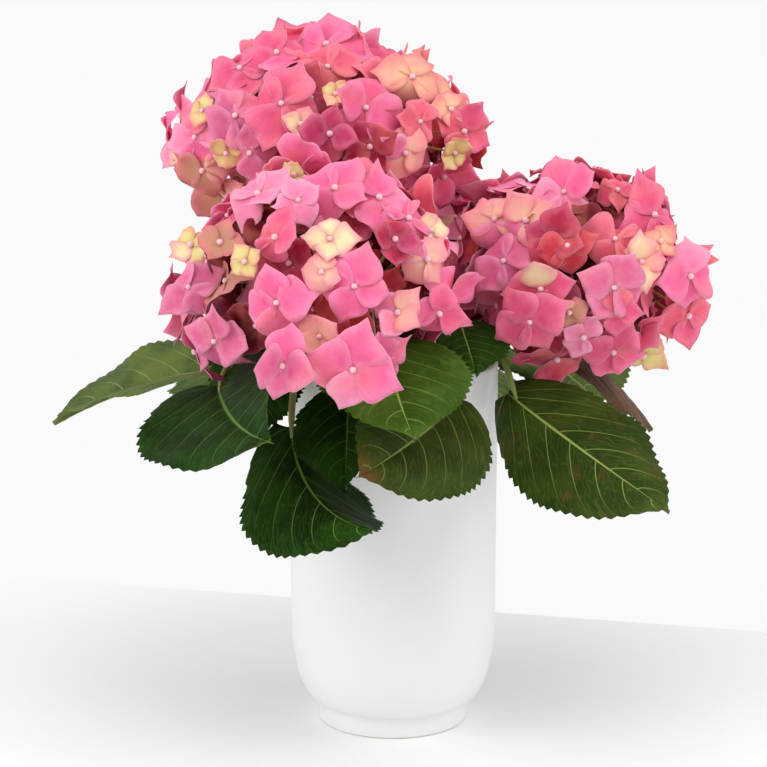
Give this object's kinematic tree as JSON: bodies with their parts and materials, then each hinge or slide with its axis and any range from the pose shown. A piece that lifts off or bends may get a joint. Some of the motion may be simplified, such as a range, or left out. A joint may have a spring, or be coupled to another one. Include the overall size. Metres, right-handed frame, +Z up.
{
  "type": "potted florist hydrangea",
  "caption": "Pink mophead hydrangea with domed flower heads over broad toothed leaves, in a tall round white ceramic pot.",
  "frame": {"origin": "centre of the pot's flat underside", "axes": "+Z up along the pot's axis, -Y towards the plant's front, +X to its right"},
  "size_m": [0.3672, 0.3281, 0.395],
  "materials": {
    "pot": "satin",
    "potting_soil": "rough",
    "trunk": "rough bark",
    "canes": "matte",
    "leaves": "satin",
    "flower_head_front": "matte",
    "flower_head_back": "matte",
    "flower_head_right": "matte",
    "flower_head_rear": "matte"
  },
  "bodies": {
    "root": {"pot": "pot", "potting_soil": "potting_soil", "trunk": "trunk", "cane_front": "canes", "cane_back": "canes", "cane_right": "canes", "cane_rear": "canes", "leaf_front": "leaves", "leaf_front_low": "leaves", "leaf_front_left": "leaves", "leaf_front_right": "leaves", "leaf_right_low": "leaves", "leaf_right_folded": "leaves", "leaf_left_low": "leaves", "leaf_left_inner": "leaves", "leaf_left": "leaves", "leaf_left_rear": "leaves", "leaf_rear_left": "leaves", "leaf_rear": "leaves", "leaf_rear_low": "leaves", "leaf_right_rear": "leaves", "leaf_right_inner": "leaves", "flower_head_front": "flower_head_front", "flower_head_back": "flower_head_back", "flower_head_right": "flower_head_right", "flower_head_rear": "flower_head_rear"}
  },
  "joints": []
}
